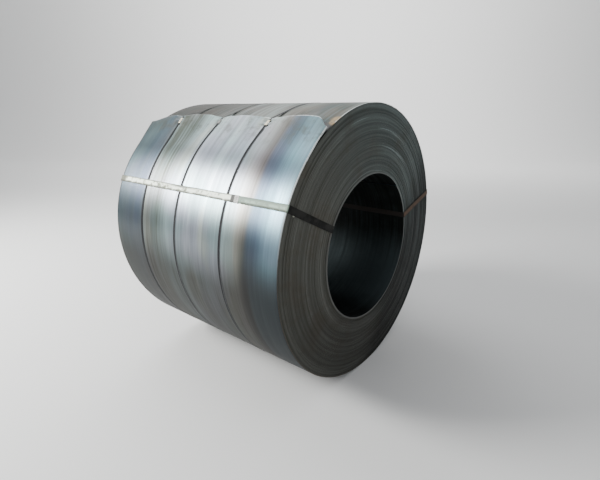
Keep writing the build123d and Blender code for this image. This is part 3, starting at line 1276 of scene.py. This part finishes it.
@dataclass
class OuterWrap:
    """The strip's last turn, whose tail stands off the coil and springs up between the belly straps."""

    winding: Winding
    strap_places: list[float]
    width_cuts: int = 109
    girth_cuts: int = 190
    tail_share: float = 0.22
    spring_stop: float = 137.0
    tangent_angle: float = 127.4
    pinch_angle: float = 117.8
    far_spring: float = 8.2
    far_pinch: float = 1.7
    arch_span: float = 15.0
    lifts: tuple[float, ...] = (8.0 * MM, 10.0 * MM, 11.0 * MM, 13.0 * MM)
    creeps: tuple[float, ...] = (0.0, 0.6, 0.5, 0.7)
    droops: tuple[float, float] = (3.6, 4.2)
    droop_reaches: tuple[float, float] = (230.0 * MM, 95.0 * MM)
    droop_power: float = 1.5
    far_arch_start: float = 0.27
    near_arch_stop: float = 0.88
    end_arch_power: float = 0.8
    arch_power: float = 0.75
    arch_fade: float = 1.3
    tip_reach: float = 16.0 * MM
    wave: float = 0.3 * MM
    wave_rates: tuple[float, float] = (5.0, 0.03)
    crumple: float = 6.0 * MM
    dent_reach: float = 95.0 * MM
    dent_rates: tuple[float, float] = (30.0, 0.9)
    dent_fade: float = 3.0
    ragged: float = 0.22
    ragged_rate: float = 16.0
    inset_power: int = 6
    bevel: float = 1.1 * MM
    bevel_angle: float = 60.0
    sharp: float = 40.0
    hidden_depth: float = 2.0 * MM
    hidden_span: float = 0.6
    steep: float = 0.5

    def _arch(self, x: float) -> tuple[float, float]:
        """Shapes the tail's arch between two straps.

        Args:
            x: Place along the axis.

        Returns:
            The edge's extra lift and forward creep.
        """
        edges = [-self.winding.half_width, *self.strap_places, self.winding.half_width]
        bay = sum(x >= edge for edge in edges[1:-1])
        share = (x - edges[bay]) / (edges[bay + 1] - edges[bay])
        if bay == 0:
            start = self.far_arch_start
            shape = math.sin(math.pi * (start + (1.0 - start) * share)) ** self.end_arch_power
        elif bay == len(self.lifts) - 1:
            shape = math.sin(math.pi * self.near_arch_stop * share) ** self.end_arch_power
        else:
            shape = math.sin(math.pi * share) ** self.arch_power
        return self.lifts[bay] * shape, self.creeps[bay] * shape

    def _far_share(self, x: float) -> float:
        """How much of the far end's stronger spring acts at a place along the axis."""
        first, second = self.strap_places[:2]
        return smooth_step((second - x) / (second - first))

    def edge_angle(self, x: float) -> float:
        """Finds the tail's edge.

        Args:
            x: Place along the axis.

        Returns:
            Its clock angle.
        """
        angle = self.pinch_angle + self.far_pinch * self._far_share(x) - self._arch(x)[1]
        for droop, reach, inward in zip(self.droops, self.droop_reaches, (x, -x)):
            angle += droop * smooth_step(1.0 - (self.winding.half_width + inward) / reach) ** self.droop_power
        return angle + self.ragged * noise.noise(Vector((x * self.ragged_rate, *RAGGED_ROW)))

    def lift(self, x: float, angle: float) -> float:
        """Finds how far the tail stands off the round.

        Args:
            x: Place along the axis.
            angle: Clock angle.

        Returns:
            The lift.
        """
        if angle >= self.spring_stop:
            return 0.0
        wound = self.winding
        slope = math.radians(max(0.0, self.tangent_angle + self.far_spring * self._far_share(x) - angle))
        straight = wound.outer_radius * (1.0 / math.cos(slope) - 1.0)
        past = (angle - self.edge_angle(x)) / self.arch_span
        ease = 1.0 - smooth_step(past)
        near_strap = max(bump_at(x, place, self.dent_reach) for place in self.strap_places)
        across, along = self.dent_rates
        dents = noise.noise(Vector((x * across, angle * along, DENT_ROW))) * self.crumple * near_strap
        return straight + self._arch(x)[0] * ease**self.arch_fade + dents * ease**self.dent_fade

    def radius_at(self, x: float, angle: float) -> float:
        """Finds the coil's outside.

        Args:
            x: Place along the axis.
            angle: Clock angle from 0 to 360.

        Returns:
            Its radius.
        """
        wound = self.winding
        if angle <= wound.head_angle:
            return wound.outer_radius
        if angle < self.edge_angle(x):
            return wound.outer_radius - wound.drop(angle)
        return wound.outer_radius + self.lift(x, angle)

    def _wrap(self, vert: bmesh.types.BMVert, across: bmesh.types.BMLayerItem, tip: bmesh.types.BMLayerItem) -> None:
        """Winds a vertex of the flat grid round the coil.

        Args:
            vert: The vertex.
            across: Layer for its place across the strip, from -1 to 1.
            tip: Layer for its nearness to the tail's edge, from 0 to 1.
        """
        wound = self.winding
        along, share = vert.co.x, 0.5 - vert.co.y / 2
        vert[across] = along
        side = Side.NEAR if along > 0 else Side.FAR
        full = along * wound.half_width
        if share < self.tail_share:
            start = self.edge_angle(full)
            angle = start + (self.spring_stop - start) * share / self.tail_share
            vert[tip] = max(0.0, 1.0 - math.radians(angle - start) * wound.outer_radius / self.tip_reach)
        else:
            rest = (share - self.tail_share) / (1.0 - self.tail_share)
            angle = self.spring_stop + rest * (wound.tuck_angle + 360.0 - self.spring_stop)
        turns = wound.lap_count - 1 + (wound.head_angle + 360.0 - angle) / 360.0
        x = full - side.value * abs(along) ** self.inset_power * wound.edge_inset(turns, side)
        radius = wound.outer_radius + self.lift(full, angle)
        if angle > 360.0:
            radius -= wound.drop(angle - 360.0)
        across_rate, round_rate = self.wave_rates
        radius += self.wave * noise.noise(Vector((x * across_rate, angle * round_rate, WAVE_ROW)))
        vert.co = wound.place(x, radius, angle)

    def build(self, materials: list[bpy.types.Material]) -> None:
        """Winds a flat grid round the core and gives it the strip's thickness.

        Args:
            materials: Finishes in the order of the material slots.
        """
        bm = bmesh.new()
        for name in ("across", "tip"):
            bm.verts.layers.float.new(name)
        across, tip = bm.verts.layers.float["across"], bm.verts.layers.float["tip"]
        bmesh.ops.create_grid(bm, x_segments=self.width_cuts, y_segments=self.girth_cuts, size=1.0)
        for vert in bm.verts:
            self._wrap(vert, across, tip)
        middle = bm.faces[:][len(bm.faces) // 2]
        thicken(bm, self.winding.strip_thickness, middle, self.winding.outward(middle))
        bevel_sharp(bm, self.bevel, self.bevel_angle, spare=self._inner_end)
        for face in bm.faces:
            face.material_index = self._slot_of(face)
        make_piece("outer_wrap", bm, materials, "steel_coil", "strip", self.sharp)

    def _slot_of(self, face: bmesh.types.BMFace) -> WrapFace:
        """Tells the outside, the edge, the inner face and an edge under the tail apart.

        Args:
            face: The face.

        Returns:
            The face's material slot.
        """
        wound = self.winding
        facing = wound.facing(face)
        if facing > self.steep:
            return WrapFace.SKIN
        if facing < -self.steep:
            return WrapFace.UNDERSIDE
        radius, _ = wound.clock(face.calc_center_median())
        covered = radius < wound.outer_radius - (wound.strip_thickness + wound.pitch) / 2
        return WrapFace.COVERED_RIM if covered else WrapFace.RIM

    def _inner_end(self, edge: bmesh.types.BMEdge) -> bool:
        """Tells the end that passes under the tail.

        Args:
            edge: An edge of the sheet.

        Returns:
            Whether the edge belongs to that end.
        """
        wound = self.winding
        radius, angle = wound.clock((edge.verts[0].co + edge.verts[1].co) / 2)
        inner = radius < wound.outer_radius - self.hidden_depth
        return inner and abs(angle - wound.tuck_angle) < self.hidden_span


@dataclass
class BellyStrap:
    """Narrow strap drawn tight round the coil, over the tail's edge."""

    winding: Winding
    wrap: OuterWrap
    number: int
    thickness: float = 0.6 * MM
    steps: int = 540
    cuts: int = 5

    def __post_init__(self) -> None:
        """Reads the strap's place and width from its CAD node."""
        low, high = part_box(self.node)
        self.x = (low.x + high.x) / 2
        self.width = high.x - low.x
        self.path = self._taut_path()

    @property
    def node(self) -> str:
        """The strap's CAD node."""
        return f"belly_strap_{self.number}"

    def _taut_path(self) -> list[tuple[float, float]]:
        """Draws a tight line round the coil's outline at the strap.

        Returns:
            Angles and radii of its corners.
        """
        points = []
        for step in range(self.steps * 2):
            angle = step * 180.0 / self.steps
            radius = self.wrap.radius_at(self.x, angle)
            turn = math.radians(angle)
            points.append((radius * math.cos(turn), radius * math.sin(turn), angle, radius))
        hull: list[tuple[float, ...]] = []
        for half in (sorted(points), sorted(points, reverse=True)):
            chain: list[tuple[float, ...]] = []
            for point in half:
                while len(chain) > 1 and self._turns_right(chain[-2], chain[-1], point):
                    chain.pop()
                chain.append(point)
            hull += chain[:-1]
        return sorted((angle, radius) for _, _, angle, radius in hull)

    @staticmethod
    def _turns_right(first: tuple[float, ...], middle: tuple[float, ...], last: tuple[float, ...]) -> bool:
        """Whether a line through three points turns clockwise or runs straight."""
        ahead = (middle[0] - first[0]) * (last[1] - first[1])
        return ahead - (middle[1] - first[1]) * (last[0] - first[0]) <= 0.0

    def radius_at(self, angle: float) -> float:
        """Reads the tight line.

        Args:
            angle: Clock angle.

        Returns:
            Its radius there.
        """
        angle %= 360.0
        first, last = self.path[0], self.path[-1]
        after = next((p for p in self.path if p[0] > angle), (first[0] + 360.0, first[1]))
        before = next((p for p in reversed(self.path) if p[0] <= angle), (last[0] - 360.0, last[1]))
        span = math.radians(after[0] - before[0])
        into, left = math.radians(angle - before[0]), math.radians(after[0] - angle)
        chord = before[1] * math.sin(into) + after[1] * math.sin(left)
        return before[1] * after[1] * math.sin(span) / chord

    def build(self, finish: bpy.types.Material) -> None:
        """Spins the strap's width round the axis and draws it tight.

        Args:
            finish: The strap's finish.
        """
        bm = bmesh.new()
        across = bm.verts.layers.float.new("across")
        ends = [bm.verts.new((side.value * self.width / 2, 0.0, self.winding.outer_radius)) for side in Side]
        bmesh.ops.subdivide_edges(bm, edges=[bm.edges.new(ends)], cuts=self.cuts)
        spin(bm, bm.verts[:] + bm.edges[:], 360.0, self.steps, merge=True)
        for vert in bm.verts:
            angle = math.degrees(math.atan2(vert.co.z, vert.co.y))
            vert[across] = 2.0 * vert.co.x / self.width
            radius = self.radius_at(angle) + BELLY_SEAT + self.thickness
            vert.co = self.winding.place(self.x + vert.co.x, radius, angle)
        face = bm.faces[:][0]
        thicken(bm, self.thickness, face, self.winding.outward(face))
        make_piece(self.node + "_band", bm, [finish], self.node, "belly_strap")

    def frame_at(self, angle: float, step: float = 0.8) -> Matrix:
        """Finds a place on the strap.

        Args:
            angle: Clock angle.
            step: How far to either side the line's direction is read.

        Returns:
            The place: X across the strap, Y along it and Z away from the coil.
        """
        wound = self.winding
        ahead = wound.place(self.x, self.radius_at(angle + step), angle + step)
        behind = wound.place(self.x, self.radius_at(angle - step), angle - step)
        along = (ahead - behind).normalized()
        across = Vector(ALONG_AXIS)
        middle = wound.place(self.x, self.radius_at(angle) + BELLY_SEAT + self.thickness / 2, angle)
        return axes_at(-across, along, along.cross(across), middle)


@dataclass
class EyeStrap:
    """Wide strap along the side, over both ends and through the bore."""

    winding: Winding
    side: str
    slot: str
    thickness: float = 0.9 * MM
    width: float = 32.0 * MM
    bend: float = 5.0 * MM
    sway: float = 1.3 * MM
    sway_rate: float = 7.0
    run_cuts: int = 90
    width_cuts: int = 7
    corner_cuts: int = 6

    def __post_init__(self) -> None:
        """Reads the strap's clock angle and its seal's place from the CAD nodes."""
        low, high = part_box(f"eye_seal_{self.side}")
        middle = (low + high) / 2
        self.seal_x = middle.x
        self.angle = self.winding.clock(middle)[1]
        self.run_radius = self.winding.outer_radius + 2.0 * STRAP_SEAT + BellyStrap.thickness

    @property
    def node(self) -> str:
        """The strap's CAD node."""
        return f"eye_strap_{self.side}"

    def _turn(self) -> Matrix:
        """Turns a strap drawn at the top of the coil to its clock angle."""
        lift = Matrix.Translation((0.0, 0.0, self.winding.axis_height))
        return lift @ Matrix.Rotation(math.radians(self.angle - 90.0), 4, "X")

    def _loop(self, bm: bmesh.types.BMesh) -> None:
        """Draws the strap's loop as a rectangle with rounded corners.

        Args:
            bm: The mesh to draw in.
        """
        wound = self.winding
        half = wound.half_width + STRAP_SEAT + self.thickness
        low = math.sqrt(wound.bore_radius**2 - (self.width / 2) ** 2) - STRAP_SEAT - self.thickness
        high = self.run_radius + self.thickness
        places = ((-half, low), (half, low), (half, high), (-half, high))
        corners = [bm.verts.new((x, 0.0, z)) for x, z in places]
        for pair in zip(corners, corners[1:] + corners[:1]):
            bm.edges.new(pair)
        bmesh.ops.bevel(
            bm, geom=corners, offset=self.bend, offset_type="OFFSET", affect="VERTICES",
            segments=self.corner_cuts, profile=0.5, material=-1, clamp_overlap=True,
        )
        runs = [e for e in bm.edges if e.calc_length() > 10 * self.bend]
        bmesh.ops.subdivide_edges(bm, edges=runs, cuts=self.run_cuts)

    def build(self, finish: bpy.types.Material) -> None:
        """Draws the loop and gives it width and thickness.

        Args:
            finish: The strap's finish.
        """
        bm = bmesh.new()
        across = bm.verts.layers.float.new("across")
        self._loop(bm)
        pull(bm, bm.edges[:], (0.0, self.width, 0.0))
        bmesh.ops.translate(bm, verts=bm.verts[:], vec=(0.0, -self.width / 2, 0.0))
        bmesh.ops.subdivide_edges(bm, edges=long_edges(bm, 1, self.width / 2), cuts=self.width_cuts)
        for vert in bm.verts:
            vert[across] = 2.0 * vert.co.y / self.width
            place = Vector((vert.co.x * self.sway_rate, vert.co.z * self.sway_rate, len(self.side)))
            vert.co.y += self.sway * noise.noise(place)
        top = max(bm.faces, key=lambda f: f.calc_center_median().z)
        thicken(bm, self.thickness, top, Vector(UPWARD))
        bmesh.ops.transform(bm, matrix=self._turn(), verts=bm.verts[:])
        make_piece(self.node + "_band", bm, [finish], self.node, self.slot)

    def seal_place(self) -> Matrix:
        """Finds the seal's place.

        Returns:
            The place: X across the strap, Y along it and Z away from the coil.
        """
        middle = Vector((self.seal_x, 0.0, self.run_radius + self.thickness / 2))
        along, out = Vector(ALONG_AXIS), Vector(UPWARD)
        return self._turn() @ axes_at(along.cross(out), along, out, middle)


@dataclass
class CrimpSeal:
    """Sheet sleeve pinched onto a strap by pairs of notches."""

    node: str
    slot: str
    strap_width: float
    strap_thickness: float
    length: float
    wall: float = 1.1 * MM
    fit: float = 0.2 * MM
    notch_count: int = 2
    notch_depth: float = 2.2 * MM
    notch_reach: float = 5.0 * MM
    notch_spread: float = 0.86
    length_cuts: int = 23
    width_cuts: int = 7
    bevel: float = 0.35 * MM
    bevel_angle: float = 50.0
    cover: float = 0.4
    flare: float = 0.5
    dip: float = 0.4
    crown: float = 0.3

    def build(self, place: Matrix, finish: bpy.types.Material) -> None:
        """Shapes a sleeve, pinches it and sets it on its strap.

        Args:
            place: The strap's place: X across it, Y along it, Z away from the coil.
            finish: The seal's finish.
        """
        wide = self.strap_width + 2 * (self.wall + self.fit)
        high = self.strap_thickness + 2 * (self.wall * self.cover + self.fit)
        bm = bmesh.new()
        along = bm.verts.layers.float.new("along")
        bmesh.ops.create_cube(bm, size=1.0)
        bmesh.ops.scale(bm, vec=(wide, self.length, high), verts=bm.verts[:])
        for axis, size, cuts in ((1, self.length, self.length_cuts), (0, wide, self.width_cuts)):
            bmesh.ops.subdivide_edges(bm, edges=long_edges(bm, axis, size / 2), cuts=cuts, use_grid_fill=True)
        for vert in bm.verts:
            vert[along] = 2.0 * vert.co.y / self.length
            self._pinch(vert, wide)
        bmesh.ops.recalc_face_normals(bm, faces=bm.faces[:])
        bevel_sharp(bm, self.bevel, self.bevel_angle)
        bmesh.ops.transform(bm, matrix=place, verts=bm.verts[:])
        make_piece(self.node + "_sleeve", bm, [finish], self.node, self.slot)

    def _pinch(self, vert: bmesh.types.BMVert, wide: float) -> None:
        """Moves a vertex in at the notches and crowns the sleeve's top.

        Args:
            vert: The vertex.
            wide: The sleeve's width.
        """
        across = 2.0 * vert.co.x / wide
        shares = ((number + 0.5) / self.notch_count - 0.5 for number in range(self.notch_count))
        centres = (share * self.length * self.notch_spread for share in shares)
        pinch = max(bump_at(vert.co.y, centre, self.notch_reach) for centre in centres)
        vert.co.x -= across * abs(across) ** 2 * self.notch_depth * pinch
        if vert.co.z > 0.0:
            rise = abs(across) ** 4 - self.dip * (1.0 - abs(across))
            vert.co.z += self.wall * (self.flare * pinch * rise + self.crown * (1.0 - across * across))


@dataclass(frozen=True)
class SoftLight:
    """A soft rectangular light: its place and aim in metres, its width and height, and its power in watts."""

    name: str
    place: Point
    aim: Point
    size: tuple[float, float]
    power: float
    colour: Colour

    def build(self) -> None:
        """Hangs the light."""
        light = bpy.data.lights.new(self.name, "AREA")
        light.shape = "RECTANGLE"
        light.size, light.size_y = self.size
        light.energy = self.power
        light.color = self.colour
        lamp = add_object(self.name, light)
        lamp.location = self.place
        lamp.rotation_euler = (Vector(self.aim) - Vector(self.place)).to_track_quat("-Z", "Y").to_euler()


# A key light beyond the far end, a broad light overhead and one on the backdrop.
LIGHTS = (
    SoftLight("key", (-4.1, -3.5, 3.45), (0.0, -0.35, 1.0), (2.1, 2.1), 670.0, (1.0, 1.0, 0.98)),
    SoftLight("overhead", (-3.6, 1.2, 5.5), (0.0, 0.0, 1.0), (5.0, 4.0), 180.0, (0.97, 0.98, 1.0)),
    SoftLight("backdrop", (-4.15, 5.6, 6.0), (-7.7, 10.5, 2.0), (12.0, 2.0), 900.0, (1.0, 1.0, 1.0)),
)


@dataclass
class Studio:
    """Pale floor, soft light and the camera."""

    winding: Winding
    eye: Vector = field(default_factory=lambda: Vector((2.244, -2.388, 1.953)))
    target: Vector = field(default_factory=lambda: Vector((0.483, 0.0, 0.731)))
    lens: float = 23.39
    sensor: float = 36.0
    shift: tuple[float, float] = (-0.05, 0.05)
    view_turn: float = 36.4
    floor_half: float = 30.0
    floor_back: float = 9.0
    sweep: float = 4.0
    sweep_steps: int = 32
    floor_colour: Colour = (0.82, 0.82, 0.81)
    floor_roughness: float = 0.8
    sky_colour: Colour = (0.95, 0.97, 1.0)
    sky_strength: float = 0.6

    def build_floor(self) -> None:
        """Large floor that bends up into a backdrop behind the coil."""
        bm = bmesh.new()
        bmesh.ops.create_grid(bm, x_segments=1, y_segments=1, size=self.floor_half)
        far = [v for v in bm.verts if v.co.y > 0]
        for vert in far:
            vert.co.y = self.floor_back
        edge = [e for e in bm.edges if all(v in far for v in e.verts)]
        spin(bm, far + edge, 90.0, self.sweep_steps, centre=(0.0, self.floor_back, self.sweep))
        top = [v for v in bm.verts if v.co.z > self.sweep - 1 * MM]
        rise = [e for e in bm.edges if all(v in top for v in e.verts)]
        pull(bm, rise, (0.0, 0.0, self.floor_half / 2))
        turn = Matrix.Rotation(math.radians(self.view_turn), 3, "Z")
        bmesh.ops.rotate(bm, verts=bm.verts[:], cent=ORIGIN, matrix=turn)
        bmesh.ops.recalc_face_normals(bm, faces=bm.faces[:])
        mesh = to_mesh("floor", bm)
        mesh.shade_smooth()
        material = bpy.data.materials.new("pale_floor")
        material.use_nodes = True
        shader = material.node_tree.nodes["Principled BSDF"]
        shader.inputs["Base Color"].default_value = (*self.floor_colour, 1.0)
        shader.inputs["Roughness"].default_value = self.floor_roughness
        mesh.materials.append(material)
        add_object("floor", mesh)

    def build_lights(self) -> None:
        """Hangs the lights and sets an even sky."""
        for light in LIGHTS:
            light.build()
        world = bpy.data.worlds.new("sky")
        world.use_nodes = True
        background = world.node_tree.nodes["Background"]
        background.inputs["Color"].default_value = (*self.sky_colour, 1.0)
        background.inputs["Strength"].default_value = self.sky_strength
        bpy.context.scene.world = world

    def build_camera(self) -> None:
        """Level camera at the photograph's place, with the photograph's framing."""
        scale = self.winding.outer_radius
        data = bpy.data.cameras.new("camera")
        data.lens = self.lens
        data.sensor_width = self.sensor
        data.shift_x, data.shift_y = self.shift
        camera = add_object("camera", data)
        camera.location = self.eye * scale
        camera.rotation_euler = (self.target - self.eye).to_track_quat("-Z", "Y").to_euler()
        bpy.context.scene.camera = camera


def main() -> None:
    """Builds and dresses every piece, then the studio."""
    logging.basicConfig(level=logging.INFO, format="%(name)s: %(message)s")
    winding = Winding.from_frame(EyeStrap.thickness)
    effects = EffectGroups(winding)
    skin, rim, under, edge, bore = (
        kind(effects).build() for kind in (RolledSkin, ShearedRim, SheetUnderside, LapEdges, BoreSkin)
    )
    WoundCore(winding).build(edge, bore, skin)
    numbers = (1, 2, 3)
    places = [sum(corner.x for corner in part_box(f"belly_strap_{number}")) / 2 for number in numbers]
    wrap = OuterWrap(winding, places)
    wrap.build([skin, rim, under, edge])
    blued, zinc = BluedStrapFinish(effects, BLUED).build(), StrapFinish(effects, ZINC_SEAL).build()
    grey, eye_seal = StrapFinish(effects, GREY_SEAL).build(), EyeSealFinish(effects, EYE_SEAL).build()
    for number in numbers:
        strap = BellyStrap(winding, wrap, number)
        strap.build(blued)
        seal = CrimpSeal(f"belly_seal_{number}", "belly_seal", strap.width, strap.thickness, BELLY_SEAL_LENGTH)
        angle = wrap.edge_angle(strap.x) + SEAL_PAST_TAIL
        seal.build(strap.frame_at(angle), grey if number == GREY_SEAL_NUMBER else zinc)
    pale, rusted = PaleStrapFinish(effects, PALE_COAT).build(), RustyStrapFinish(effects, RUSTED).build()
    for side, slot, finish in (("left", "eye_strap_pale", pale), ("right", "eye_strap_rusty", rusted)):
        eye = EyeStrap(winding, side, slot)
        eye.build(finish)
        seal = CrimpSeal(f"eye_seal_{side}", "eye_seal", eye.width, eye.thickness, EYE_SEAL_LENGTH)
        seal.build(eye.seal_place(), eye_seal)
    studio = Studio(winding)
    studio.build_floor()
    studio.build_lights()
    studio.build_camera()


if __name__ == "__main__":
    main()
